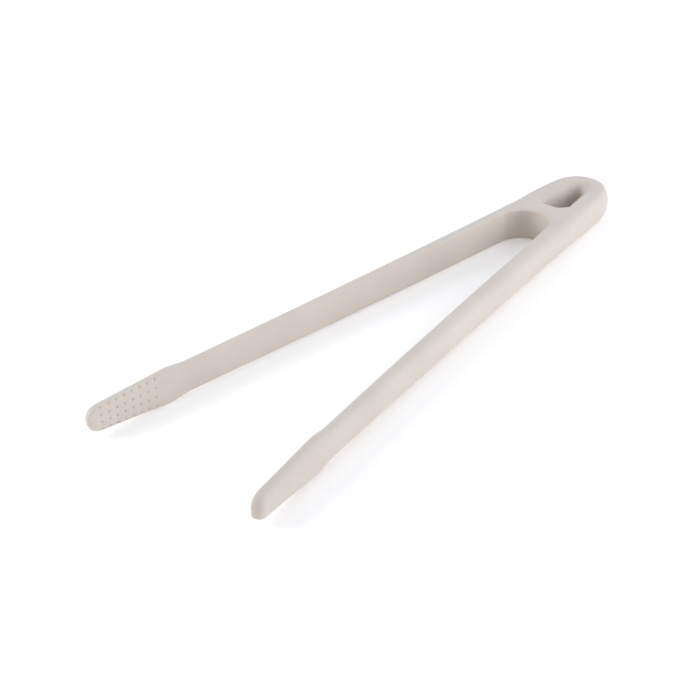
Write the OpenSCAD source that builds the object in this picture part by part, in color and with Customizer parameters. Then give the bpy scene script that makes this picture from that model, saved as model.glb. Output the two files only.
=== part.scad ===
// Sprung kitchen tongs: a rubber skin moulded over two stiff arm cores that a
// steel spring band joins round the hanging hoop.
//
// The tongs lie on their narrow edge. +X runs from the hoop to the tips, +Y to
// the left arm and +Z up. The origin is the middle of the outline, on the table.
// A station is a distance along X from the end of the hoop.

/* [Outline] */
// Overall length, from the end of the hoop to the tips
length = 280; // [260:1:300]
// Half of the gap between the arms, level with the web
gap_half = 8.1; // [7.8:0.1:9]
// Angle between each arm and the middle line at the hoop, in degrees
flare = 6.1; // [5.5:0.1:6.5]
// How far each arm bows outwards at its tip
bow = 4.6; // [3:0.2:7]

/* [Arm section] */
// Height of the hoop and the web end of the arms
hoop_h = 14.6; // [14:0.1:17]
// Height of an arm at its neck, just behind the paddle
neck_h = 12.6; // [12:0.1:13.6]
// Wall of the hoop and of the arms beside the web, from inside to outside
root_t = 8.5; // [8.2:0.1:8.7]
// Thickness of an arm at its neck
neck_t = 5.2; // [5:0.1:5.8]

/* [Paddle] */
// Length of a paddle, from its neck to its tip
paddle_len = 44; // [40:1:50]
// Height of a paddle just behind its tip
tip_h = 10.9; // [10.4:0.1:12.5]
// Thickness of a paddle just behind its tip
tip_t = 4.7; // [4.4:0.1:5]
// Length over which a tip is rounded, seen from inside
tip_round = 6.5; // [6:0.5:7.5]
// Length over which a tip is rounded, seen from above
nose_round = 3.5; // [3:0.5:5]
// Rows of grip dimples on each paddle
dimple_rows = 4; // [2:1:5]
// Columns of grip dimples on each paddle
dimple_cols = 8; // [4:1:8]
// Diameter of a grip dimple
dimple_d = 1.3; // [0.8:0.1:1.7]
// Depth of a grip dimple in the inner face
dimple_depth = 0.5; // [0.2:0.1:0.6]

/* [Hoop and web] */
// Length of the rounded end of the hoop
hoop_round = 16; // [14:0.5:18]
// Wall of the hoop at its very end
hoop_end_t = 11.5; // [11:0.1:12.5]
// How much thicker the wall is beside the hanging hole
hole_wall = 2.8; // [2.2:0.1:3]
// Length of the rounded end of the hanging hole
hole_round = 6.5; // [5.5:0.5:7.5]
// Radius of the hanging hole's corners beside the web
hole_corner = 2.5; // [2:0.5:4]
// Station of the web's face inside the hanging hole
web_back = 39; // [36:0.5:41]
// Thickness of the web on the middle line
web_t = 11; // [10:0.5:13]
// Depth of the web below the edges of the arms
web_dip = 0.9; // [0.5:0.1:1.5]
// Length of the rounded corners of the throat
throat_round = 10; // [9:0.5:11]

/* [Spring and cores] */
// Thickness of the steel spring band
band_t = 0.8; // [0.6:0.1:1]
// Width of the spring band, across the height of the tongs
band_w = 8; // [7:0.5:9]
// Length of the lap between the band and each arm core
lap_len = 20; // [18:1:22]
// Height of an arm core
core_h = 7; // [6:0.5:7.5]
// Rubber between an arm core and the inner face of the arm
skin = 1.3; // [1.2:0.1:1.5]
// Diameter of a rivet
rivet_d = 3; // [2.5:0.5:3]
// Height of a rivet's head
rivet_head_h = 0.6; // [0.5:0.1:0.7]

/* [Hinge] */
// Radius of the round root that each arm turns on
knuckle_r = 4.3; // [4.25:0.05:4.4]
// Clearance between an arm and the hoop
clearance = 0.3; // [0.2:0.05:0.4]

/* [Hidden] */
$fn = 48;

rubber = "#dbd6cf";
steel = "#b7babd";
nylon = "#3d3d40";

// Length over which a paddle widens beyond its neck
shoulder_len = 10;
// Solid rubber between a core and the rounded tip
nose_rubber = 7;
// How far the web reaches into the arms
web_root = 1.6;

// Stations along the tongs
web_front = web_back + web_t;
hinge_s = web_front + throat_round;
neck_s = length - paddle_len;
shoulder_s = neck_s + shoulder_len;
tip_s = length - tip_round;
nose_s = length - nose_round;
lap_start = hinge_s + 6;
lap_end = lap_start + lap_len;
core_end = tip_s - nose_rubber;
rivet_stations = [lap_start + 6, lap_start + 14];
dimples_first = neck_s + 15.9;

// Distance between the dimples' columns, and how far up the arm their rows reach
dimples_pitch = 3.3;
dimples_spread = 0.415;

// Exponents of the rounded outlines: 2 is an ellipse, more is squarer
hoop_n = 2.25;
hole_n = 2;
throat_n = 2.1;
tip_n = 2.3;

// The cross-section, in parts of an arm's thickness: where its flat edges start,
// on an arm and on the hoop, how wide they are, and how square its inner corners
land_at = [0.17, 0.42];
land_w = 0.14;
inner_n = [7, 2.2];

// How far the inner face of a tip curls outwards
tip_curl = 1.2;
// Gap between a core and the band or a rivet's head
fit_gap = 0.02;
// Half of the clearance between a rivet and its hole in the band
rivet_play = 0.05;

mid_z = hoop_h / 2;
// Height that reaches past the whole part, for cutting
tall = hoop_h + 2;

// ---- the lines that the plan view follows ----

function run(s) = s - web_back + 5;
function inner_y(s) = gap_half + tan(flare) * run(s) + bow * pow(run(s) / length, 2);
function slope(s) = atan(tan(flare) + 2 * bow * run(s) / pow(length, 2));
function ramp(s, a, b) = min(1, max(0, (s - a) / (b - a)));
function ease(q) = q * q * (3 - 2 * q);
function mix(a, b, q) = a + (b - a) * q;

// A rounded outline's two components at angle a
function along(a, n) = 1 - pow(max(0, cos(a)), 2 / n);
function across(a, n) = pow(max(0, sin(a)), 2 / n);

// How an arm narrows over its rounded tip, in height and in thickness
function rounding(q) = pow(1 - pow(q, tip_n), 1 / tip_n);
function tip_width(s) = rounding(ramp(s, tip_s, length));
function nose_width(s) = rounding(ramp(s, nose_s, length));

// Height and thickness of an arm at a station
function arm_h(s) = tip_width(s) * (
    s < neck_s ? mix(hoop_h, neck_h, ramp(s, web_front, neck_s)) :
    s < shoulder_s ? mix(neck_h, hoop_h, ease(ramp(s, neck_s, shoulder_s))) :
    mix(hoop_h, tip_h, ramp(s, shoulder_s, tip_s)));
function arm_t(s) = nose_width(s) * (
    s < neck_s ? mix(root_t, neck_t, ramp(s, web_back, neck_s)) :
    mix(neck_t, tip_t, ramp(s, neck_s, tip_s)));

// The inner face curls outwards a little at the very tip
function curl(s) = tip_curl * (1 - pow(1 - pow(ramp(s, nose_s, length), 3), 1 / 3));

function outward(s) = [-sin(slope(s)), cos(slope(s))];
function place(s, w) = [s - length / 2, inner_y(s)] + outward(s) * w;

// Pairs of points, on the inner and on the outer face. Round the hoop, angle a
// runs from the middle line, at 0, to the end of its rounded part, at 90.
function hoop_inner(a) =
    let (s = hoop_end_t + hole_round * along(a, hole_n))
    [s - length / 2, (inner_y(s) - hole_wall) * across(a, hole_n)];
function hoop_outer(a) =
    let (s = hoop_round * along(a, hoop_n))
    [s - length / 2, (inner_y(s) + root_t / cos(flare)) * across(a, hoop_n)];
function arm_pair(s) = [place(s, curl(s)), place(s, arm_t(s))];
function hole_pair(s) = [place(s, -hole_wall), place(s, arm_t(s))];
function hoop_pair(a) = [hoop_inner(a), hoop_outer(a)];

// ---- the cross-section, in parts of its own thickness and half height ----

// q is 0 on an arm, with a flat inner face, and 1 on the hoop, rounded both ways
function half_section(q) =
    let (
        land = mix(land_at[0], land_at[1], q),
        n = mix(inner_n[0], inner_n[1], q),
        side = land + land_w
    )
    [
        for (a = [0, 30, 60, 78]) [land - land * across(90 - a, n), across(a, n)],
        [land, 1],
        [side, 1],
        for (a = [72, 52, 34, 16]) [side + (1 - side) * cos(a), sin(a)]
    ];
function section(q) = concat(
    half_section(q),
    [[1, 0]],
    [for (i = [len(half_section(q)) - 1 : -1 : 1]) [half_section(q)[i][0], -half_section(q)[i][1]]]
);

// One ring of the skin: pair is its inner and outer point, h its height
function ring(pair, h, q) = [
    for (p = section(q)) [
        mix(pair[0][0], pair[1][0], p[0]),
        mix(pair[0][1], pair[1][1], p[0]),
        mid_z + p[1] * h / 2
    ]
];

// A closed solid through a list of rings
module loft(rings) {
    k = len(rings[0]);
    n = len(rings);
    polyhedron(
        points = [for (r = rings) for (p = r) p],
        faces = concat(
            [[for (i = [k - 1 : -1 : 0]) i]],
            [for (j = [0 : n - 2]) for (i = [0 : k - 1]) [
                j * k + i, j * k + (i + 1) % k, (j + 1) * k + (i + 1) % k, (j + 1) * k + i
            ]],
            [[for (i = [0 : k - 1]) (n - 1) * k + i]]
        ),
        convexity = 8
    );
}

function flip(ring) = [for (p = ring) [p[0], -p[1], p[2]]];
function backwards(list) = [for (i = [len(list) - 1 : -1 : 0]) list[i]];

arm_stations = [
    for (s = [hinge_s - 6 : 14 : neck_s - 8]) s,
    for (s = [neck_s : 3.4 : shoulder_s + 1]) s,
    for (s = [shoulder_s + 6 : 7 : tip_s - 3]) s,
    for (q = [0, 0.25, 0.45, 0.6, 0.72, 0.82, 0.9, 0.96, 0.99]) mix(tip_s, length, q)
];

module arm_skin() {
    loft([for (s = arm_stations) ring(arm_pair(s), arm_h(s), 0)]);
}

module hoop_skin() {
    side = concat(
        [for (a = [10 : 16 : 90]) ring(hoop_pair(a), hoop_h, 1)],
        [for (s = [web_back - 15, web_back - 6, web_back + 2])
            ring(hole_pair(s), hoop_h, 1 - 0.5 * ramp(s, web_back - 6, web_back + 2))],
        [for (s = [web_front - 3, web_front + 3, hinge_s + 3]) ring(arm_pair(s), arm_h(s), 0)]
    );
    loft(concat([for (r = backwards(side)) flip(r)], [ring(hoop_pair(0), hoop_h, 1)], side));
}

// ---- plan shapes ----

module left_hinge_point() {
    translate(place(hinge_s, arm_t(hinge_s) / 2)) children();
}

// The part of the plan that belongs to the left arm, grown by gap
module arm_zone(gap) {
    left_hinge_point() circle(r = knuckle_r + gap);
    translate([hinge_s - length / 2 - gap, 0]) square([length, length / 2]);
}

// The web, between the hanging hole and the throat
module web_plan() {
    throat = [
        for (a = [0 : 9 : 90])
            let (s = web_front + throat_round * along(a, throat_n))
            [s - length / 2, inner_y(s) * across(a, throat_n)]
    ];
    wall = [place(hinge_s, web_root), place(web_back - hole_corner, web_root)];
    corner = [
        for (a = [0 : 15 : 90]) [
            web_back - length / 2 - hole_corner * (1 - sin(a)),
            inner_y(web_back) - hole_wall - hole_corner * (1 - cos(a))
        ]
    ];
    left = concat(throat, wall, corner);
    polygon(concat(left, [for (p = backwards(left)) [p[0], -p[1]]]));
}

// Middle line of the band, from the end of the hoop to the end of the lap
function hoop_band(a) =
    let (s = mix(hoop_end_t / 2, hoop_round, along(a, hole_n)))
    [s - length / 2, (inner_y(s) + root_t / cos(flare) / 2) * across(a, hole_n)];
band_line = concat(
    [for (a = [0 : 7.5 : 90]) hoop_band(a)],
    [for (s = [hoop_round + 2 : 7 : lap_end - 3]) place(s, arm_t(s) / 2)],
    [place(lap_end, arm_t(lap_end) / 2)]
);
function band_normal(i) =
    let (
        a = band_line[max(0, i - 1)],
        b = band_line[min(len(band_line) - 1, i + 1)],
        d = i == 0 ? [0, 1] : (b - a) / norm(b - a)
    )
    [-d[1], d[0]];
function band_edge(side) = [
    for (i = [0 : len(band_line) - 1]) band_line[i] + band_normal(i) * side * band_t / 2
];

module band_plan() {
    outer = band_edge(1);
    inner = band_edge(-1);
    polygon(concat(
        backwards(inner),
        [for (p = inner) [p[0], -p[1]]],
        [for (p = backwards(outer)) [p[0], -p[1]]],
        outer
    ));
}

// An arm core: its first part lies against the inner side of the band
module core_plan() {
    lap = [for (i = [0 : 4]) mix(lap_start, lap_end, i / 4)];
    free = [for (i = [0 : 12]) mix(lap_end + 0.5, core_end, i / 12)];
    polygon(concat(
        [for (s = concat(lap, free)) place(s, skin)],
        [for (s = backwards(free)) place(s, arm_t(s) - skin)],
        [for (s = backwards(lap)) place(s, arm_t(s) / 2 - band_t / 2 - fit_gap)]
    ));
}

module standing(h) {
    translate([0, 0, mid_z - h / 2]) linear_extrude(h) children();
}

// Puts a child's +Z along the outward direction of the arm, at a station and a
// height above the middle of the arm
module on_arm(s, w, up = 0) {
    translate([place(s, w)[0], place(s, w)[1], mid_z + up])
        rotate([-90, 0, slope(s)]) children();
}

// ---- solids, all drawn for the left arm ----

// Where the outer head of a rivet starts, from the inner face of the arm
function rivet_top(s) = arm_t(s) / 2 + band_t / 2 + fit_gap;

// The shafts run from end to end of the rivets, through both heads
module rivet_shafts(r) {
    for (s = rivet_stations)
        on_arm(s, skin - rivet_head_h)
            cylinder(r = r, h = rivet_top(s) - skin + 2 * rivet_head_h);
}

module rivets() {
    rivet_shafts(rivet_d / 2);
    for (s = rivet_stations) {
        on_arm(s, skin - rivet_head_h) cylinder(d = rivet_d + 2, h = rivet_head_h);
        on_arm(s, rivet_top(s)) cylinder(d = rivet_d + 2, h = rivet_head_h);
    }
}

module arm_core() {
    difference() {
        standing(core_h) core_plan();
        rivet_shafts(rivet_d / 2);
    }
}

module grip_dimples() {
    for (c = [0 : dimple_cols - 1])
        for (r = [0 : dimple_rows - 1])
            let (
                s = dimples_first + c * dimples_pitch,
                up = arm_h(s) * dimples_spread * (2 * r / (dimple_rows - 1) - 1)
            )
            on_arm(s, -1, up) cylinder(d = dimple_d, h = dimple_depth + 1, $fn = 16);
}

module arm_jacket() {
    difference() {
        intersection() {
            arm_skin();
            translate([0, 0, -1]) linear_extrude(tall) arm_zone(0);
        }
        grip_dimples();
        standing(band_w) band_plan();
        standing(core_h) core_plan();
        rivets();
    }
}

// ---- the pieces ----

// Rubber round the hanging hoop, with the web that the arms bear on
module hoop_jacket() {
    color(rubber) difference() {
        union() {
            hoop_skin();
            standing(hoop_h - 2 * web_dip) web_plan();
        }
        translate([0, 0, -1]) linear_extrude(tall) {
            arm_zone(clearance);
            mirror([0, 1]) arm_zone(clearance);
        }
        standing(band_w) band_plan();
    }
}

module left_arm_jacket() {
    color(rubber) arm_jacket();
}

module right_arm_jacket() {
    color(rubber) mirror([0, 1, 0]) arm_jacket();
}

// Spring steel strip, bent round the hoop and lapped onto both arm cores
module spring_band() {
    hole_r = rivet_d / 2 + rivet_play;
    color(steel) difference() {
        standing(band_w) band_plan();
        rivet_shafts(hole_r);
        mirror([0, 1, 0]) rivet_shafts(hole_r);
    }
}

module left_arm_core() {
    color(nylon) arm_core();
}

module right_arm_core() {
    color(nylon) mirror([0, 1, 0]) arm_core();
}

module left_rivets() {
    color(steel) rivets();
}

module right_rivets() {
    color(steel) mirror([0, 1, 0]) rivets();
}

hoop_jacket();
left_arm_jacket();
right_arm_jacket();
spring_band();
left_arm_core();
right_arm_core();
left_rivets();
right_rivets();
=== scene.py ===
import math

import bpy
import numpy as np
from mathutils import Matrix, Vector


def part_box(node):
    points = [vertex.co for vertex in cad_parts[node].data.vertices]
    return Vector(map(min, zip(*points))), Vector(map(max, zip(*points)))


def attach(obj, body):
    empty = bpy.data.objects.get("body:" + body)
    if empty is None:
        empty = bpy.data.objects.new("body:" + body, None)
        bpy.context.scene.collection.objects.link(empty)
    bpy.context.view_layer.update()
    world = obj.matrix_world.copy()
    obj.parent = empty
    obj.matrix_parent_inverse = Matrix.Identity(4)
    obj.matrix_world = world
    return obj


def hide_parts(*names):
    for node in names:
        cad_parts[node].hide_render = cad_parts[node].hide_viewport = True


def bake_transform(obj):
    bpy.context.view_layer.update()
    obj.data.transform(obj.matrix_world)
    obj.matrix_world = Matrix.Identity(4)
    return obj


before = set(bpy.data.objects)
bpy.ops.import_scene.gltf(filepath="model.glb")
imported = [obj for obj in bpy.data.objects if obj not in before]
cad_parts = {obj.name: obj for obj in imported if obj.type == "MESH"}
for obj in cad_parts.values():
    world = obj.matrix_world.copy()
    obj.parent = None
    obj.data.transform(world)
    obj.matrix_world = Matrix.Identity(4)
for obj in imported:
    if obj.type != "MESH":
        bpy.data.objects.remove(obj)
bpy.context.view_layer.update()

# ---------------------------------------------------------------- dimensions
# Millimetres. A station is the distance along X from the end of the hoop. These
# repeat the dimensions of the same names in the CAD source.
MM = 0.001
LENGTH = 280.0
GAP_HALF, FLARE, BOW = 8.1, math.radians(6.1), 4.6
HOOP_H, NECK_H, ROOT_T, NECK_T = 14.6, 12.6, 8.5, 5.2
PADDLE_LEN, SHOULDER_LEN, TIP_H, TIP_T = 44.0, 10.0, 10.9, 4.7
TIP_ROUND, NOSE_ROUND, TIP_N, TIP_CURL = 6.5, 3.5, 2.3, 1.2
DIMPLE_ROWS, DIMPLE_COLS, DIMPLE_D, DIMPLE_DEPTH = 4, 8, 1.3, 0.5
HOOP_ROUND, HOOP_END_T, HOOP_N = 16.0, 11.5, 2.25
HOLE_WALL, HOLE_ROUND, HOLE_CORNER = 2.8, 6.5, 2.5
WEB_BACK, WEB_T, WEB_DIP, THROAT_ROUND, THROAT_N = 39.0, 11.0, 0.9, 10.0, 2.1
BAND_T, BAND_W, LAP_LEN = 0.8, 8.0, 20.0
WEB_FRONT = WEB_BACK + WEB_T
HINGE_S = WEB_FRONT + THROAT_ROUND
NECK_S = LENGTH - PADDLE_LEN
SHOULDER_S = NECK_S + SHOULDER_LEN
TIP_S, NOSE_S = LENGTH - TIP_ROUND, LENGTH - NOSE_ROUND
LAP_START = HINGE_S + 6
LAP_END = LAP_START + LAP_LEN
DIMPLES_FIRST, DIMPLES_PITCH, DIMPLES_SPREAD = NECK_S + 15.9, 3.3, 0.415

# The hoop's wall, measured along Y
WALL_ACROSS = ROOT_T / math.cos(FLARE)

# The frame says where the hoop's end is and how high the middle plane lies
hoop_low, hoop_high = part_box("hoop_jacket")
X0 = hoop_low.x / MM
MID_Z = (hoop_low.z + hoop_high.z) / 2 / MM

# How far in from their walls the edges are rounded, and how squarely: beside the
# hanging hole, along the web, and along the inner faces of the arms
HOLE_REACH, HOLE_EDGE_N = 4.5, 2.2
WEB_EDGE, WEB_EDGE_N = 1.1, 8.0
ARM_EDGE, ARM_EDGE_N = 1.3, 5.0
# The same for the outside, in parts of the wall: on the arms and on the hoop
OUTER_REACH, OUTER_N = (0.69, 0.43), 2
# Width of the raised lip along the throat, how far it slopes down to the wall, and
# the distances from the throat between which the web sinks to its full dip
LIP, LIP_DROP, LIP_FOOT = 3.2, 0.6, (2.7, 4.1)
# How far across the dip reaches, in parts of the gap and of the wall beside it
DIP_GAP, DIP_WALL = 0.2, 0.3

# Stations between which one shape of the skin turns into the next: the hoop's
# outside into the arms', the hole's edge into the web's, the throat's edge into the
# arms'; and between which the dip begins and the lip ends
HOOP_TO_ARM, HOLE_TO_WEB, THROAT_TO_ARM = (28, 48), (35.5, 39.5), (54, 70)
DIP_BEGINS, LIP_ENDS = (27, 38), (51, 68)
# The throat's wall does not matter before the first, nor the hole's past the second
THROAT_MATTERS, HOLE_MATTERS = 42, 46

# Where the separate skin pieces meet, how far the arm skins follow the solid below,
# and between which the arms' rings turn from square to the cut to square across the arm
CUT_S, ROOT_END = 51.0, 74.0

# The hoop skin's mesh: size of its cells in the plan, levels over its height, and
# how far its grid reaches past the end, past the top and out from the middle
CELL, LEVELS = 0.5, 33
END_MARGIN, TOP_MARGIN, GRID_HALF = 2, 0.6, 22
# The arm skins' meshes: the distance between rings from each station on, and the
# rings of the rounded tip, which crowd together towards its end
DIMPLE_MARGIN = 1.2
RING_STEPS = (
    (CUT_S, 0.5), (62, 1.5), (ROOT_END, 3), (NECK_S - 3, 0.8),
    (DIMPLES_FIRST - DIMPLE_MARGIN, 0.22))
TIP_RINGS, TIP_LAST = 24, 0.03
# Points of a ring: up its inner face, round each inner edge, over the flat top, and
# round the outside; the face ends at that part of the height and the edges go on
FACE_POINTS, EDGE_POINTS, TOP_POINTS, SIDE_POINTS = 43, 6, 7, 15
FACE_PART, EDGE_FROM, EDGE_TO = 0.86, 40, 8


# ---------------------------------------------------------------- plan lines
def mix(a, b, q):
    return a + (b - a) * q


def ramp(s, a, b):
    return np.clip((s - a) / (b - a), 0, 1)


def ease(s, a, b):
    q = ramp(s, a, b)
    return q * q * (3 - 2 * q)


def run(s):
    return s - WEB_BACK + 5


def inner_y(s):
    """Y of the left arm's inner face."""
    return GAP_HALF + math.tan(FLARE) * run(s) + BOW * (run(s) / LENGTH) ** 2


def slope(s):
    return np.arctan(math.tan(FLARE) + 2 * BOW * run(s) / LENGTH**2)


def place(s, w):
    """Points on the plan, w outwards from the inner face of the left arm."""
    s, w = np.broadcast_arrays(np.asarray(s, float), np.asarray(w, float))
    a = slope(s)
    return np.stack([X0 + s - np.sin(a) * w, inner_y(s) + np.cos(a) * w], -1)


def rounding(q):
    """What is left of a height or thickness at part q of a rounded tip."""
    return (1 - q**TIP_N) ** (1 / TIP_N)


def arm_h(s):
    return rounding(ramp(s, TIP_S, LENGTH)) * np.where(
        s < NECK_S, mix(HOOP_H, NECK_H, ramp(s, WEB_FRONT, NECK_S)),
        np.where(s < SHOULDER_S, mix(NECK_H, HOOP_H, ease(s, NECK_S, SHOULDER_S)),
                 mix(HOOP_H, TIP_H, ramp(s, SHOULDER_S, TIP_S))))


def arm_t(s):
    return rounding(ramp(s, NOSE_S, LENGTH)) * np.where(
        s < NECK_S, mix(ROOT_T, NECK_T, ramp(s, WEB_BACK, NECK_S)),
        mix(NECK_T, TIP_T, ramp(s, NECK_S, TIP_S)))


def curl(s):
    """How far the inner face of a tip curls outwards."""
    return TIP_CURL * (1 - (1 - ramp(s, NOSE_S, LENGTH) ** 3) ** (1 / 3))


def resample(points, step):
    """The line through the points, with even steps of about that length."""
    points = np.asarray(points, float)
    steps = np.linalg.norm(np.diff(points, axis=0), axis=1)
    passed = np.concatenate([[0], np.cumsum(steps)])
    at = np.linspace(0, passed[-1], int(passed[-1] / step) + 1)
    return np.stack([np.interp(at, passed, points[:, k]) for k in (0, 1)], -1)


def softened(points, step, reach):
    """The line with its corners eased over about that reach."""
    line = resample(points, step)
    half = int(3 * reach / step)
    weights = np.exp(-0.5 * (np.arange(-half, half + 1) * step / reach) ** 2)
    weights /= weights.sum()
    ends = np.concatenate([
        2 * line[0] - line[half:0:-1], line, 2 * line[-1] - line[-2:-half - 2:-1]])
    return np.stack([np.convolve(ends[:, k], weights, "valid") for k in (0, 1)], -1)


class Outline:
    """An outline in the plan, mirrored in Y = 0; away() is how far a point lies from
    it on the skin's side, which side = 1 or -1 chooses."""

    # Distance between the line's points, how many of them one coarse step is, how
    # many places are searched at once, and the distance that counts as far inside
    STEP, COARSE, BATCH, FAR = 0.05, 24, 4096, 99.0

    def __init__(self, points, reach, side):
        points = np.asarray(points, float)
        both = np.concatenate([points[::-1] * [1, -1], points[1:]])
        self.line = softened(both, self.STEP, reach)
        self.side = side

    def away(self, x, y, where=None):
        """Where the flag is off, the point is taken to be far inside the skin."""
        x, y = np.broadcast_arrays(x, y)
        if where is not None:
            where = np.broadcast_to(where, x.shape)
            far = np.full(x.shape, self.FAR)
            far[where] = self.away(x[where], y[where])
            return far
        shape = np.shape(x)
        p = np.stack([np.ravel(x), np.ravel(y)], -1)
        coarse = self.line[::self.COARSE]
        near = np.empty(len(p), int)
        for i in range(0, len(p), self.BATCH):
            d = p[i:i + self.BATCH, None] - coarse[None]
            near[i:i + self.BATCH] = np.einsum("ijk,ijk->ij", d, d).argmin(1) * self.COARSE
        around = np.arange(-self.COARSE, self.COARSE + 1)
        window = np.clip(near[:, None] + around, 0, len(self.line) - 1)
        d = p[:, None] - self.line[window]
        k = window[np.arange(len(p)), np.einsum("ijk,ijk->ij", d, d).argmin(1)]
        k = np.clip(k, 1, len(self.line) - 2)
        way = self.line[k + 1] - self.line[k - 1]
        way /= np.linalg.norm(way, axis=1)[:, None]
        off = p - self.line[k]
        cross = way[:, 0] * off[:, 1] - way[:, 1] * off[:, 0]
        past = np.abs((off * way).sum(1))
        flat = np.where(past < self.STEP, 0, past)
        return (self.side * np.sign(cross) * np.hypot(cross, flat)).reshape(shape)


# Angles round a quarter of an outline, and the station to which the outlines go on
# along the arms
QUARTER = np.radians(np.linspace(0, 90, 181))
PLAN_END = 110


def along(a, n):
    """How far a rounded outline of exponent n has come at angle a."""
    return 1 - np.cos(a).clip(0) ** (2 / n)


def across(a, n):
    """How wide it is there."""
    return np.sin(a).clip(0) ** (2 / n)


def outer_points():
    s = HOOP_ROUND * along(QUARTER, HOOP_N)
    y = (inner_y(s) + WALL_ACROSS) * across(QUARTER, HOOP_N)
    straight = np.linspace(HOOP_ROUND + 1, PLAN_END, 120)
    return np.concatenate([np.stack([X0 + s, y], -1), place(straight, arm_t(straight))])


def hole_points():
    gap = 0.3  # between the corner's round and the straight lines beside it
    s = HOOP_END_T + HOLE_ROUND * along(QUARTER, 2)
    start = np.stack([X0 + s, (inner_y(s) - HOLE_WALL) * across(QUARTER, 2)], -1)
    side = place(np.linspace(s[-1] + 1, WEB_BACK - HOLE_CORNER - gap, 30), -HOLE_WALL)
    a = np.radians(np.linspace(0, 90, 20))
    corner = np.stack([
        X0 + WEB_BACK - HOLE_CORNER * (1 - np.sin(a)),
        inner_y(WEB_BACK) - HOLE_WALL - HOLE_CORNER * (1 - np.cos(a))], -1)
    web = np.stack([np.full(20, X0 + WEB_BACK), np.linspace(corner[-1, 1] - gap, 0, 20)], -1)
    return np.concatenate([start, side, corner, web])


def throat_points():
    s = WEB_FRONT + THROAT_ROUND * along(QUARTER, THROAT_N)
    y = inner_y(s) * across(QUARTER, THROAT_N)
    straight = np.linspace(HINGE_S + 1, PLAN_END, 80)
    return np.concatenate([np.stack([X0 + s, y], -1), place(straight, 0)])


OUTER = Outline(outer_points(), reach=1.0, side=-1)
HOLE = Outline(hole_points(), reach=0.5, side=1)
THROAT = Outline(throat_points(), reach=0.4, side=1)


# ---------------------------------------------------------------- skin solid
def quarter(depth, reach, n, high):
    """Below 0 inside a wall whose edge is rounded over that reach."""
    return (np.clip(1 - depth / reach, 0, None) ** n + high**n) ** (1 / n) - 1


def plan(x, y):
    """What the skin's surface depends on at a place in the plan of the hoop."""
    y = np.abs(y)
    s = x - X0
    t = arm_t(s)
    hoop = 1 - ease(s, *HOOP_TO_ARM)
    web, wall = ease(s, *HOLE_TO_WEB), ease(s, *THROAT_TO_ARM)
    throat = THROAT.away(x, y, s > THROAT_MATTERS)
    across_dip = 1 - ease(y, DIP_GAP * inner_y(s), inner_y(s) + DIP_WALL * t)
    dip = WEB_DIP * ease(s, *DIP_BEGINS) * across_dip * ease(throat, *LIP_FOOT)
    lip = LIP_DROP * (1 - ease(s, *LIP_ENDS)) * np.clip(1 - throat / LIP, 0, 1) ** 2
    hole = HOLE.away(x, y, s < HOLE_MATTERS)
    return (
        arm_h(s) / 2 - dip - lip,
        (OUTER.away(x, y), mix(*OUTER_REACH, hoop) * t, OUTER_N),
        (hole, mix(HOLE_REACH, WEB_EDGE, web), mix(HOLE_EDGE_N, WEB_EDGE_N, web)),
        (throat, mix(WEB_EDGE, ARM_EDGE, wall), mix(WEB_EDGE_N, ARM_EDGE_N, wall)))


def level(at, z):
    """Below 0 inside the skin of the hoop, the web and the roots of the arms."""
    high = np.abs(z - MID_Z) / at[0]
    outer, hole, throat = (quarter(*edge, high) for edge in at[1:])
    return np.maximum(outer, np.maximum(hole, throat))


def gradient(p):
    """The level at each point and its gradient."""
    eps = 0.02
    x, y, z = np.moveaxis(p, -1, 0)
    here = plan(x, y)
    value = level(here, z)
    slopes = [level(plan(x + eps, y), z), level(plan(x, y + eps), z), level(here, z + eps)]
    return value, np.stack([(v - value) / eps for v in slopes], -1)


def onto_skin(p, plane, rounds):
    """Moves points onto the skin's surface; those marked in plane keep their X."""
    longest = 0.6
    for _ in range(rounds):
        value, g = gradient(p)
        g[plane, 0] = 0
        step = value[..., None] * g / np.maximum((g * g).sum(-1), 1e-4)[..., None]
        size = np.linalg.norm(step, axis=-1)[..., None]
        p = p - step * np.minimum(1, longest / np.maximum(size, 1e-9))
    return p


def unit(v):
    return v / np.linalg.norm(v, axis=-1)[..., None]


def skin_normals(p):
    """Exact outward normals of points on the skin's surface."""
    eps = 0.04
    x, y, z = np.moveaxis(p, -1, 0)
    here = plan(x, y)
    return unit(np.stack([
        level(plan(x + eps, y), z) - level(plan(x - eps, y), z),
        level(plan(x, y + eps), z) - level(plan(x, y - eps), z),
        level(here, z + eps) - level(here, z - eps)], -1))


# ---------------------------------------------------------------- mesh making
def mesh_object(name, points, faces):
    """A smooth-shaded object from points in millimetres."""
    mesh = bpy.data.meshes.new(name)
    mesh.from_pydata((np.asarray(points) * MM).tolist(), [], [list(f) for f in faces])
    mesh.validate()
    mesh.shade_smooth()
    mesh.update()
    obj = bpy.data.objects.new(name, mesh)
    bpy.context.scene.collection.objects.link(obj)
    return obj


def tube_faces(k, n):
    """Quads between n rings of k points each."""
    return [
        (j * k + i, (j + 1) * k + i, (j + 1) * k + (i + 1) % k, j * k + (i + 1) % k)
        for j in range(n - 1) for i in range(k)]


def on_side(side, points, faces):
    """Points and faces of the left half, mirrored if side is -1."""
    if side > 0:
        return points, faces
    return points * [1, -1, 1], [f[::-1] for f in faces]


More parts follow.
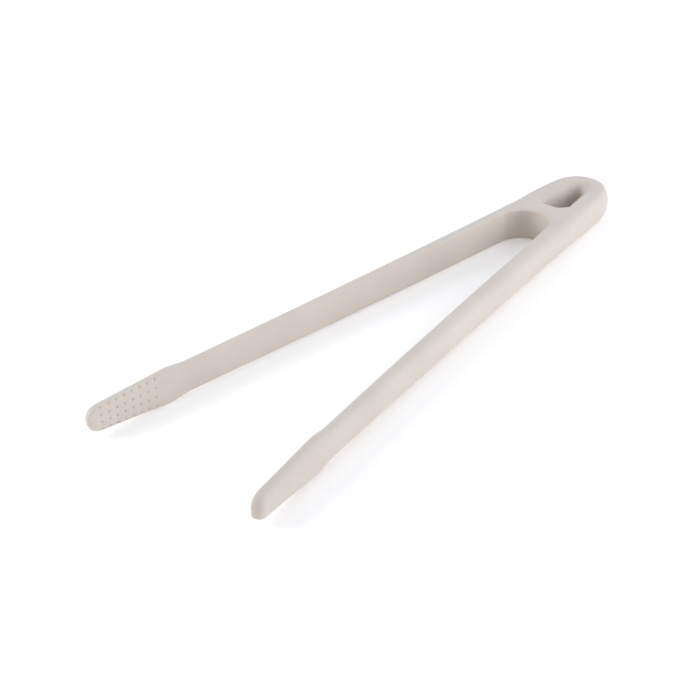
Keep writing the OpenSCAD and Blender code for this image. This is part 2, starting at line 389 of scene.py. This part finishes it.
def surface_net(xs, ys, zs, field):
    """Centres of the cells in which the field changes sign, quads that join them, and
    each cell's place along X."""
    inside = field < 0
    count = sum(
        inside[i:len(xs) - 1 + i, j:len(ys) - 1 + j, k:len(zs) - 1 + k].astype(int)
        for i in (0, 1) for j in (0, 1) for k in (0, 1))
    active = (count > 0) & (count < 8)
    index = np.full(active.shape, -1)
    index[active] = np.arange(active.sum())
    i, j, k = np.nonzero(active)
    centres = np.stack([(a[m] + a[m + 1]) / 2 for a, m in ((xs, i), (ys, j), (zs, k))], -1)
    quads = []
    for axis in range(3):
        a, b = np.moveaxis(inside, axis, 0)[:-1], np.moveaxis(inside, axis, 0)[1:]
        cells = np.moveaxis(index, axis, 0)
        for here, turned in ((a & ~b, False), (~a & b, True)):
            m, u, v = np.nonzero(here[:, 1:-1, 1:-1])
            ring = [cells[m, u, v], cells[m, u + 1, v], cells[m, u + 1, v + 1], cells[m, u, v + 1]]
            if turned != (axis == 1):
                ring = ring[::-1]
            quads.append(np.stack(ring, -1))
    return centres, np.concatenate(quads), i


def relaxed(points, quads, fixed):
    """Each point at the middle of its neighbours, but for the fixed ones."""
    total, number = np.zeros_like(points), np.zeros(len(points))
    for a, b in ((0, 1), (1, 2), (2, 3), (3, 0)):
        for one, two in ((quads[:, a], quads[:, b]), (quads[:, b], quads[:, a])):
            number += np.bincount(one, minlength=len(points))
            for k in range(3):
                total[:, k] += np.bincount(one, points[two, k], len(points))
    moved = total / np.maximum(number, 1)[:, None]
    return np.where(fixed[:, None], points, moved)


def hoop_skin():
    """The skin of the hoop and the web, up to the cut across the arms."""
    cells = int((CUT_S + END_MARGIN) / CELL) + 2
    xs = X0 + CUT_S + CELL / 2 - CELL * np.arange(cells)[::-1]
    ys = np.arange(-GRID_HALF, GRID_HALF + 0.01, CELL)
    top = HOOP_H / 2 + TOP_MARGIN
    zs = np.linspace(MID_Z - top, MID_Z + top, LEVELS)
    # What plan() says of each place, with room for the levels above it
    columns = plan(xs[:, None] + 0 * ys[None], ys[None] + 0 * xs[:, None])
    columns = [columns[0][..., None]] + [
        tuple(v[..., None] if np.ndim(v) else v for v in edge) for edge in columns[1:]]
    points, quads, layer = surface_net(xs, ys, zs, level(columns, zs))
    edge = layer == len(xs) - 2
    points[edge, 0] = X0 + CUT_S
    points = onto_skin(points, edge, 4)
    for _ in range(3):
        points = onto_skin(relaxed(points, quads, edge), edge, 1)
    points = onto_skin(points, edge, 2)
    obj = mesh_object("hoop_skin", points, quads)
    obj.data.normals_split_custom_set_from_vertices(skin_normals(points).tolist())
    return obj


def arm_ring(s, inner):
    """A closed ring across the left arm at station s, with its inner edge at w = inner."""
    t, h = float(arm_t(s)), float(arm_h(s)) / 2
    wall = float(ease(s, *THROAT_TO_ARM))
    reach = mix(WEB_EDGE, ARM_EDGE, wall) * float(rounding(ramp(s, NOSE_S, LENGTH)))
    n = mix(WEB_EDGE_N, ARM_EDGE_N, wall)
    far = (1 - OUTER_REACH[0]) * t
    flat_to = max(far, inner + reach + 0.05 * t)
    q = np.linspace(-FACE_PART, FACE_PART, FACE_POINTS)
    face = np.stack([inner + reach * (1 - (1 - np.abs(q) ** n) ** (1 / n)), q], -1)
    a = np.radians(np.linspace(EDGE_FROM, EDGE_TO, EDGE_POINTS))
    edge = np.stack([
        inner + reach - reach * np.sin(a) ** (2 / n), np.cos(a) ** (2 / n)], -1)
    top = np.stack([
        np.linspace(inner + reach, flat_to, TOP_POINTS), np.ones(TOP_POINTS)], -1)
    a = np.radians(np.linspace(90, 0, SIDE_POINTS))[1:]
    side = np.stack([far + (t - far) * np.cos(a), np.sin(a)], -1)
    upper = np.concatenate([edge, top, side])
    lower = upper[-2::-1] * [1, -1]
    return np.concatenate([face, upper, lower]) * [1, h] + [0, MID_Z]


def dimple_depth(s, z):
    """How deep the grip dimples are at a place on the inner face."""
    total = np.zeros(np.broadcast(s, z).shape)
    for c in range(DIMPLE_COLS):
        at = DIMPLES_FIRST + c * DIMPLES_PITCH
        for r in range(DIMPLE_ROWS):
            up = float(arm_h(at)) * DIMPLES_SPREAD * (2 * r / (DIMPLE_ROWS - 1) - 1)
            d = np.hypot(s - at, z - MID_Z - up) / (DIMPLE_D / 2)
            total = np.maximum(total, DIMPLE_DEPTH * np.clip(1 - d**2, 0, None))
    return total


def arm_skin(name, side):
    """The skin of one arm, from the cut to the tip; side is 1 on the left."""
    last = DIMPLES_FIRST + DIMPLES_PITCH * (DIMPLE_COLS - 1) + DIMPLE_MARGIN
    ends = [start for start, _ in RING_STEPS[1:]] + [last]
    stations = [np.arange(start, end, step) for (start, step), end in zip(RING_STEPS, ends)]
    to_go = np.linspace(np.sqrt(1 - ramp(last, TIP_S, LENGTH)), TIP_LAST, TIP_RINGS) ** 2
    stations = np.concatenate([*stations, mix(TIP_S, LENGTH, 1 - to_go)])
    inner_side = 0.5  # points nearer to the inner face than this are dimpled
    rings = []
    for s in stations:
        throat = 0.0
        if s < HINGE_S:  # the ring reaches in as far as the throat's outline
            part = (1 - (1 - (s - WEB_FRONT) / THROAT_ROUND) ** THROAT_N) ** (1 / THROAT_N)
            throat = float(inner_y(s) * (part - 1))
        ring = arm_ring(s, throat)
        w, z = ring[:, 0] + float(curl(s)), ring[:, 1]
        if s > DIMPLES_FIRST - DIMPLE_MARGIN:
            w = w + np.where(ring[:, 0] < inner_side, dimple_depth(s, z), 0)
        out = w * np.cos(slope(s))
        tilt = np.tan(slope(s)) * ease(s, CUT_S, ROOT_END)
        rings.append(np.stack([X0 + s - tilt * out, inner_y(s) + out, z], -1))
    rings = np.array(rings)
    # The root follows the solid that the hoop's skin is made from; the cut stays flat
    root = stations < ROOT_END
    plane = np.zeros(rings[root].shape[:2], bool)
    plane[0] = True
    rings[root] = onto_skin(rings[root], plane, 6)
    k, n = rings.shape[1], len(rings)
    points = rings.reshape(-1, 3)
    tip_point = points[-k:].mean(0)[None] + [0.02, 0, 0]
    points = np.concatenate([points, tip_point])
    faces = tube_faces(k, n)
    faces += [((n - 1) * k + i, n * k, (n - 1) * k + (i + 1) % k) for i in range(k)]
    points, faces = on_side(side, points, faces)
    obj = mesh_object(name, points, faces)
    # Beside the cut the normals are the solid's, so that no seam shows
    normals = np.array([v.vector for v in obj.data.vertex_normals])
    seam = slice(0, k * int(root.sum() // 2))
    normals[seam] = skin_normals(points[seam])
    obj.data.normals_split_custom_set_from_vertices(normals.tolist())
    return obj


def spring_half(name, side):
    """Half of the steel strip, from the middle of the hoop to the end of its lap."""
    a = np.radians(np.linspace(0, 90, 25))
    s = mix(HOOP_END_T / 2, HOOP_ROUND, along(a, 2))
    bend = np.stack([X0 + s, (inner_y(s) + WALL_ACROSS / 2) * across(a, 2)], -1)
    s = np.linspace(HOOP_ROUND + 2, LAP_END, 60)
    raw = np.concatenate([bend, place(s, arm_t(s) / 2)])
    line = softened(np.concatenate([raw[:0:-1] * [1, -1], raw]), step=0.5, reach=1.2)
    line = line[line[:, 1] >= 0]
    line[0, 1] = 0
    d = unit(np.gradient(line, axis=0))
    d[0] = (0, 1)
    normal = np.stack([-d[:, 1], d[:, 0]], -1)
    w, h, cut = BAND_T / 2, BAND_W / 2, 0.2
    section = [
        (-w, -h + cut), (-w, h - cut), (-w + cut, h), (w - cut, h),
        (w, h - cut), (w, -h + cut), (w - cut, -h), (-w + cut, -h)]
    points = np.concatenate([
        np.concatenate([line[i] + normal[i] * p[0], [MID_Z + p[1]]])[None]
        for i in range(len(line)) for p in section])
    k, n = len(section), len(line)
    faces = tube_faces(k, n)
    faces.append([(n - 1) * k + i for i in range(k)])
    points, faces = on_side(side, points, faces)
    obj = mesh_object(name, points, faces)
    obj.data.set_sharp_from_angle(angle=math.radians(40))
    return obj


# ---------------------------------------------------------------- materials
def linear(*rgb):
    """A shader's colour from 8-bit sRGB values above 10."""
    return [((c / 255 + 0.055) / 1.055) ** 2.4 for c in rgb] + [1.0]


class Nodes:
    """Short names for building one material's node tree."""

    def __init__(self, name):
        self.material = bpy.data.materials.new(name)
        self.material.use_nodes = True
        self.tree = self.material.node_tree
        self.shader = self.tree.nodes["Principled BSDF"]
        self.where = self.add("ShaderNodeTexCoord").outputs["Object"]

    def add(self, kind, **inputs):
        node = self.tree.nodes.new(kind)
        for key, value in inputs.items():
            node.inputs[key.replace("_", " ")].default_value = value
        return node

    def link(self, out, to):
        self.tree.links.new(out, to)

    def noise(self, scale, detail=2.0, stretch=None):
        node = self.add("ShaderNodeTexNoise", Scale=scale, Detail=detail)
        where = self.where
        if stretch:
            mapping = self.add("ShaderNodeMapping", Scale=stretch)
            self.link(where, mapping.inputs["Vector"])
            where = mapping.outputs["Vector"]
        self.link(where, node.inputs["Vector"])
        return node.outputs["Fac"]

    def blend(self, factor, stops):
        """A colour ramp between two stops, each a place and a colour."""
        node = self.add("ShaderNodeValToRGB")
        for element, (at, colour) in zip(node.color_ramp.elements, stops):
            element.position, element.color = at, colour
        self.link(factor, node.inputs["Fac"])
        return node.outputs["Color"]

    def range(self, value, low, high):
        """The noise, most of which lies from 0.3 to 0.7, spread from low to high."""
        node = self.add(
            "ShaderNodeMapRange", From_Min=0.3, From_Max=0.7, To_Min=low, To_Max=high)
        self.link(value, node.inputs["Value"])
        return node.outputs["Result"]

    def bump(self, height, distance, strength, under=None):
        node = self.add("ShaderNodeBump", Distance=distance, Strength=strength)
        self.link(height, node.inputs["Height"])
        if under is not None:
            self.link(under, node.inputs["Normal"])
        return node.outputs["Normal"]

    def set(self, **values):
        for key, value in values.items():
            self.shader.inputs[key.replace("_", " ")].default_value = value

    def feed(self, out, name):
        self.link(out, self.shader.inputs[name])


def silicone():
    m = Nodes("silicone_skin")
    tones = [(0.32, linear(192, 182, 170)), (0.7, linear(198, 188, 176))]
    m.feed(m.blend(m.noise(scale=38.0, detail=3.0), tones), "Base Color")
    m.feed(m.range(m.noise(scale=420.0, detail=3.0), 0.52, 0.64), "Roughness")
    grain = m.bump(m.noise(scale=5200.0), distance=0.00003, strength=0.35)
    m.feed(m.bump(m.noise(scale=900.0), distance=0.00004, strength=0.25, under=grain), "Normal")
    m.set(Sheen_Weight=0.12, Sheen_Roughness=0.5, IOR=1.42)
    m.set(
        Subsurface_Weight=0.25, Subsurface_Radius=(1.0, 0.6, 0.4), Subsurface_Scale=0.002)
    return m.material


def spring_steel():
    m = Nodes("spring_steel")
    streaks = m.noise(scale=600.0, detail=3.0, stretch=(1.0, 1.0, 14.0))
    tones = [(0.3, linear(150, 152, 156)), (0.72, linear(196, 198, 202))]
    m.feed(m.blend(streaks, tones), "Base Color")
    m.feed(m.range(streaks, 0.26, 0.42), "Roughness")
    m.feed(m.bump(streaks, distance=0.00003, strength=0.3), "Normal")
    m.set(Metallic=1.0)
    return m.material


def rivet_steel():
    m = Nodes("rivet_steel")
    turned = m.noise(scale=1500.0, detail=3.0)
    tones = [(0.3, linear(140, 141, 144)), (0.75, linear(188, 188, 191))]
    m.feed(m.blend(turned, tones), "Base Color")
    m.feed(m.range(turned, 0.3, 0.48), "Roughness")
    m.feed(m.bump(turned, distance=0.00003, strength=0.35), "Normal")
    m.set(Metallic=1.0)
    return m.material


def filled_nylon():
    m = Nodes("filled_nylon")
    fibres = m.noise(scale=1400.0, detail=4.0, stretch=(0.2, 1.0, 1.0))
    tones = [(0.35, linear(44, 44, 47)), (0.75, linear(66, 66, 70))]
    m.feed(m.blend(fibres, tones), "Base Color")
    m.feed(m.range(fibres, 0.45, 0.62), "Roughness")
    m.feed(m.bump(fibres, distance=0.00005, strength=0.4), "Normal")
    return m.material


def finish_piece(obj, material):
    obj.data.materials.append(material)
    return obj


# ---------------------------------------------------------------- the pieces
skin_material = silicone()
steel_material = spring_steel()

hoop = finish_piece(hoop_skin(), skin_material)
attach(hoop, "hoop")
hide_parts("hoop_jacket")

for side, arm in ((1, "left_arm"), (-1, "right_arm")):
    skin_piece = finish_piece(arm_skin(arm + "_skin", side), skin_material)
    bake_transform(skin_piece)
    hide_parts(arm + "_jacket")
    strip_name = arm.split("_")[0] + "_spring_half"
    strip = finish_piece(spring_half(strip_name, side), steel_material)
    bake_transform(strip)
    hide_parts("spring_band")

# The cores and the rivets keep the CAD's shapes and get better materials
for node, material in (
        ("left_arm_core", filled_nylon()), ("left_rivets", rivet_steel())):
    for name in (node, node.replace("left", "right")):
        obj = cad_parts[name]
        obj.data.materials.clear()
        obj.data.materials.append(material)


# ---------------------------------------------------------------- floor, light
# Half the floor's width and its height, in metres; its two tones and its glow
FLOOR_HALF, FLOOR_Z = 3.0, -0.00005
FLOOR_TONES = [(0.3, (0.97, 0.94, 0.90, 1)), (0.7, (0.98, 0.95, 0.91, 1))]
FLOOR_GLOW, FLOOR_GLOW_COLOUR = 0.09, (0.98, 0.99, 1.0, 1.0)
# Place, width in metres and power in watts of the lights, which face the tongs
KEY = (-0.65, 1.0, 0.52), 1.0, 11.0
FILL = (0.75, -0.9, 0.7), 0.8, 10.2
LIGHT_COLOUR, SKY_STRENGTH = (0.945, 0.993, 1.085), 0.71


def floor():
    mesh = bpy.data.meshes.new("floor")
    corners = [
        (x * FLOOR_HALF, y * FLOOR_HALF, FLOOR_Z)
        for x, y in ((-1, -1), (1, -1), (1, 1), (-1, 1))]
    mesh.from_pydata(corners, [], [(0, 1, 2, 3)])
    obj = bpy.data.objects.new("floor", mesh)
    bpy.context.scene.collection.objects.link(obj)
    m = Nodes("floor")
    m.feed(m.blend(m.noise(scale=3.0), FLOOR_TONES), "Base Color")
    m.set(Roughness=0.9, Emission_Strength=FLOOR_GLOW, Emission_Color=FLOOR_GLOW_COLOUR)
    mesh.materials.append(m.material)


def area_light(name, place_m, size, power):
    data = bpy.data.lights.new(name, "AREA")
    data.color = LIGHT_COLOUR
    data.shape, data.size, data.energy = "DISK", size, power
    obj = bpy.data.objects.new(name, data)
    obj.location = place_m
    obj.rotation_euler = (-Vector(place_m)).to_track_quat("-Z", "Y").to_euler()
    bpy.context.scene.collection.objects.link(obj)


floor()
area_light("key", *KEY)
area_light("fill", *FILL)
world = bpy.data.worlds.new("studio")
world.use_nodes = True
sky = world.node_tree.nodes["Background"]
sky.inputs["Color"].default_value = (*LIGHT_COLOUR, 1)
sky.inputs["Strength"].default_value = SKY_STRENGTH
bpy.context.scene.world = world
bpy.context.scene.view_settings.view_transform = "Standard"

# ---------------------------------------------------------------- camera
# Fitted to the photograph's outlines: lens and distance in millimetres, the point
# in the middle of the picture, and the direction from there to the camera
LENS, DISTANCE, AIM = 66.85, 505.8, (34.8, -7.8, 0.0)
ELEVATION, AZIMUTH, ROLL = math.radians(31.58), math.radians(39.31), math.radians(-0.18)

camera_data = bpy.data.cameras.new("camera")
camera_data.sensor_width = 36
camera_data.lens = LENS
camera_data.clip_start = 0.01
camera = bpy.data.objects.new("camera", camera_data)
bpy.context.scene.collection.objects.link(camera)
back = Vector((
    math.cos(ELEVATION) * math.cos(AZIMUTH), math.cos(ELEVATION) * math.sin(AZIMUTH),
    math.sin(ELEVATION)))
camera.location = Vector(AIM) * MM + back * DISTANCE * MM
turn = back.to_track_quat("Z", "Y").to_matrix() @ Matrix.Rotation(ROLL, 3, "Z")
camera.rotation_euler = turn.to_euler()
bpy.context.scene.camera = camera
